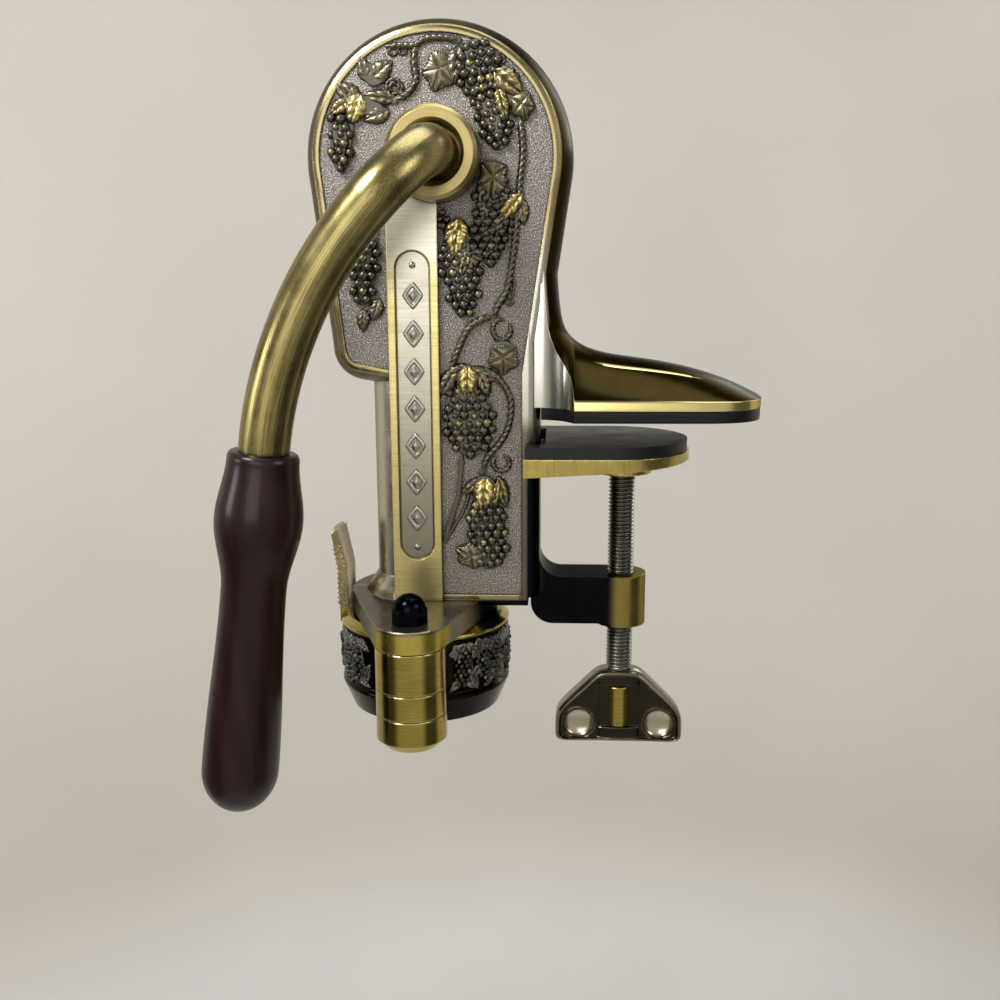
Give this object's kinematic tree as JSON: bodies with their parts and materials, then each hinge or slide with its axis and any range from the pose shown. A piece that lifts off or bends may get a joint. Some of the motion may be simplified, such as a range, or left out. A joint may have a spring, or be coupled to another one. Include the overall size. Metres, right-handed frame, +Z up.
{
  "type": "countertop corkscrew",
  "caption": "Lever corkscrew that clamps to a counter's edge: a swinging lever drives a geared rack, which sends a spinning worm down into a bottle held by hinged jaws.",
  "frame": {"origin": "on the clamp screw's axis, on the underside of the upper rubber pad, where the counter's top lies; midway between the body's two sides", "axes": "+X runs back over the counter, +Y away from the lever's side, +Z up"},
  "size_m": [0.2335, 0.1355, 0.3215],
  "materials": {
    "antique_brass": "antique brass plating, brushed, dark in the hollows",
    "pewter_field": "pebbled antique plating round a grapevine relief",
    "brushed_strip": "brushed pale plating",
    "bearing_brass": "turned brass",
    "bright_steel": "turned steel",
    "dark_steel": "darkened threaded steel",
    "blued_steel": "polished blue-black",
    "dark_brass": "dark polished plating",
    "black_rubber": "moulded rubber",
    "dark_wood": "satin mahogany lacquer"
  },
  "bodies": {
    "frame": {"housing_right": "antique_brass", "housing_left": "antique_brass", "panel_right": "pewter_field", "panel_left": "pewter_field", "strip_right": "brushed_strip", "strip_left": "brushed_strip", "hub_ring": "antique_brass", "hub_cap": "antique_brass", "lever_bush": "bearing_brass", "housing_screws": "bright_steel", "idler_shaft": "bright_steel", "rack_guide": "bearing_brass", "guide_bush": "bearing_brass", "guide_pins": "bright_steel", "foot": "antique_brass", "foot_pad": "black_rubber", "hinge_bolt": "antique_brass", "hinge_nut": "blued_steel"},
    "lever": {"lever_arm": "antique_brass", "lever_gear": "bright_steel", "gear_key": "bright_steel", "grip": "dark_wood"},
    "idler": {"idler_gear": "bright_steel"},
    "carriage": {"rack": "bright_steel", "worm_bearing": "bearing_brass"},
    "worm": {"worm": "bright_steel", "worm_clip": "bright_steel"},
    "front_jaw": {"front_jaw": "antique_brass"},
    "rear_jaw": {"rear_jaw": "antique_brass"},
    "clamp_plate": {"pressure_plate": "antique_brass", "clamp_pad": "black_rubber"},
    "clamp_screw": {"clamp_screw": "dark_steel", "screw_clip": "bright_steel", "wing_handle": "dark_brass", "wing_sleeve": "bearing_brass", "wing_pin": "bright_steel"}
  },
  "joints": [
    {"name": "lever_swing", "type": "hinge", "parent": "frame", "child": "lever", "pos_m": [-0.08, 0, 0.109], "axis": [0, 1, 0], "range_deg": [0, 172]},
    {"name": "idler_spin", "type": "hinge", "parent": "frame", "child": "idler", "pos_m": [-0.0785, 0, 0.04302], "axis": [0, 1, 0], "range_deg": [-344.1, 0]},
    {"name": "carriage_slide", "type": "slide", "parent": "frame", "child": "carriage", "axis": [0, 0, -1], "range_m": [0, 0.06605]},
    {"name": "worm_spin", "type": "hinge", "parent": "carriage", "child": "worm", "pos_m": [-0.0905, 0, 0], "axis": [0, 0, -1], "range_deg": [0, 2162]},
    {"name": "front_jaw_swing", "type": "hinge", "parent": "frame", "child": "front_jaw", "pos_m": [-0.0905, -0.0548, -0.112], "axis": [0, 0, 1], "range_deg": [0, 10]},
    {"name": "rear_jaw_swing", "type": "hinge", "parent": "frame", "child": "rear_jaw", "pos_m": [-0.0905, -0.0548, -0.112], "axis": [0, 0, 1], "range_deg": [-10, 0]},
    {"name": "clamp_slide", "type": "slide", "parent": "frame", "child": "clamp_plate", "axis": [0, 0, 1], "range_m": [-0.038, 0.0095]},
    {"name": "screw_spin", "type": "hinge", "parent": "clamp_plate", "child": "clamp_screw", "pos_m": [0, 0, -0.05], "axis": [0, 0, 1], "range_deg": [-7818, 1955]}
  ],
  "couplings": [
    {"joint": "idler_spin", "follows": "lever_swing", "ratio": -2},
    {"joint": "carriage_slide", "follows": "lever_swing", "m_per_rad": 0.022},
    {"joint": "worm_spin", "follows": "lever_swing", "ratio": 12.566},
    {"joint": "rear_jaw_swing", "follows": "front_jaw_swing", "ratio": -1},
    {"joint": "screw_spin", "follows": "clamp_slide", "rad_per_m": 3590.4}
  ]
}
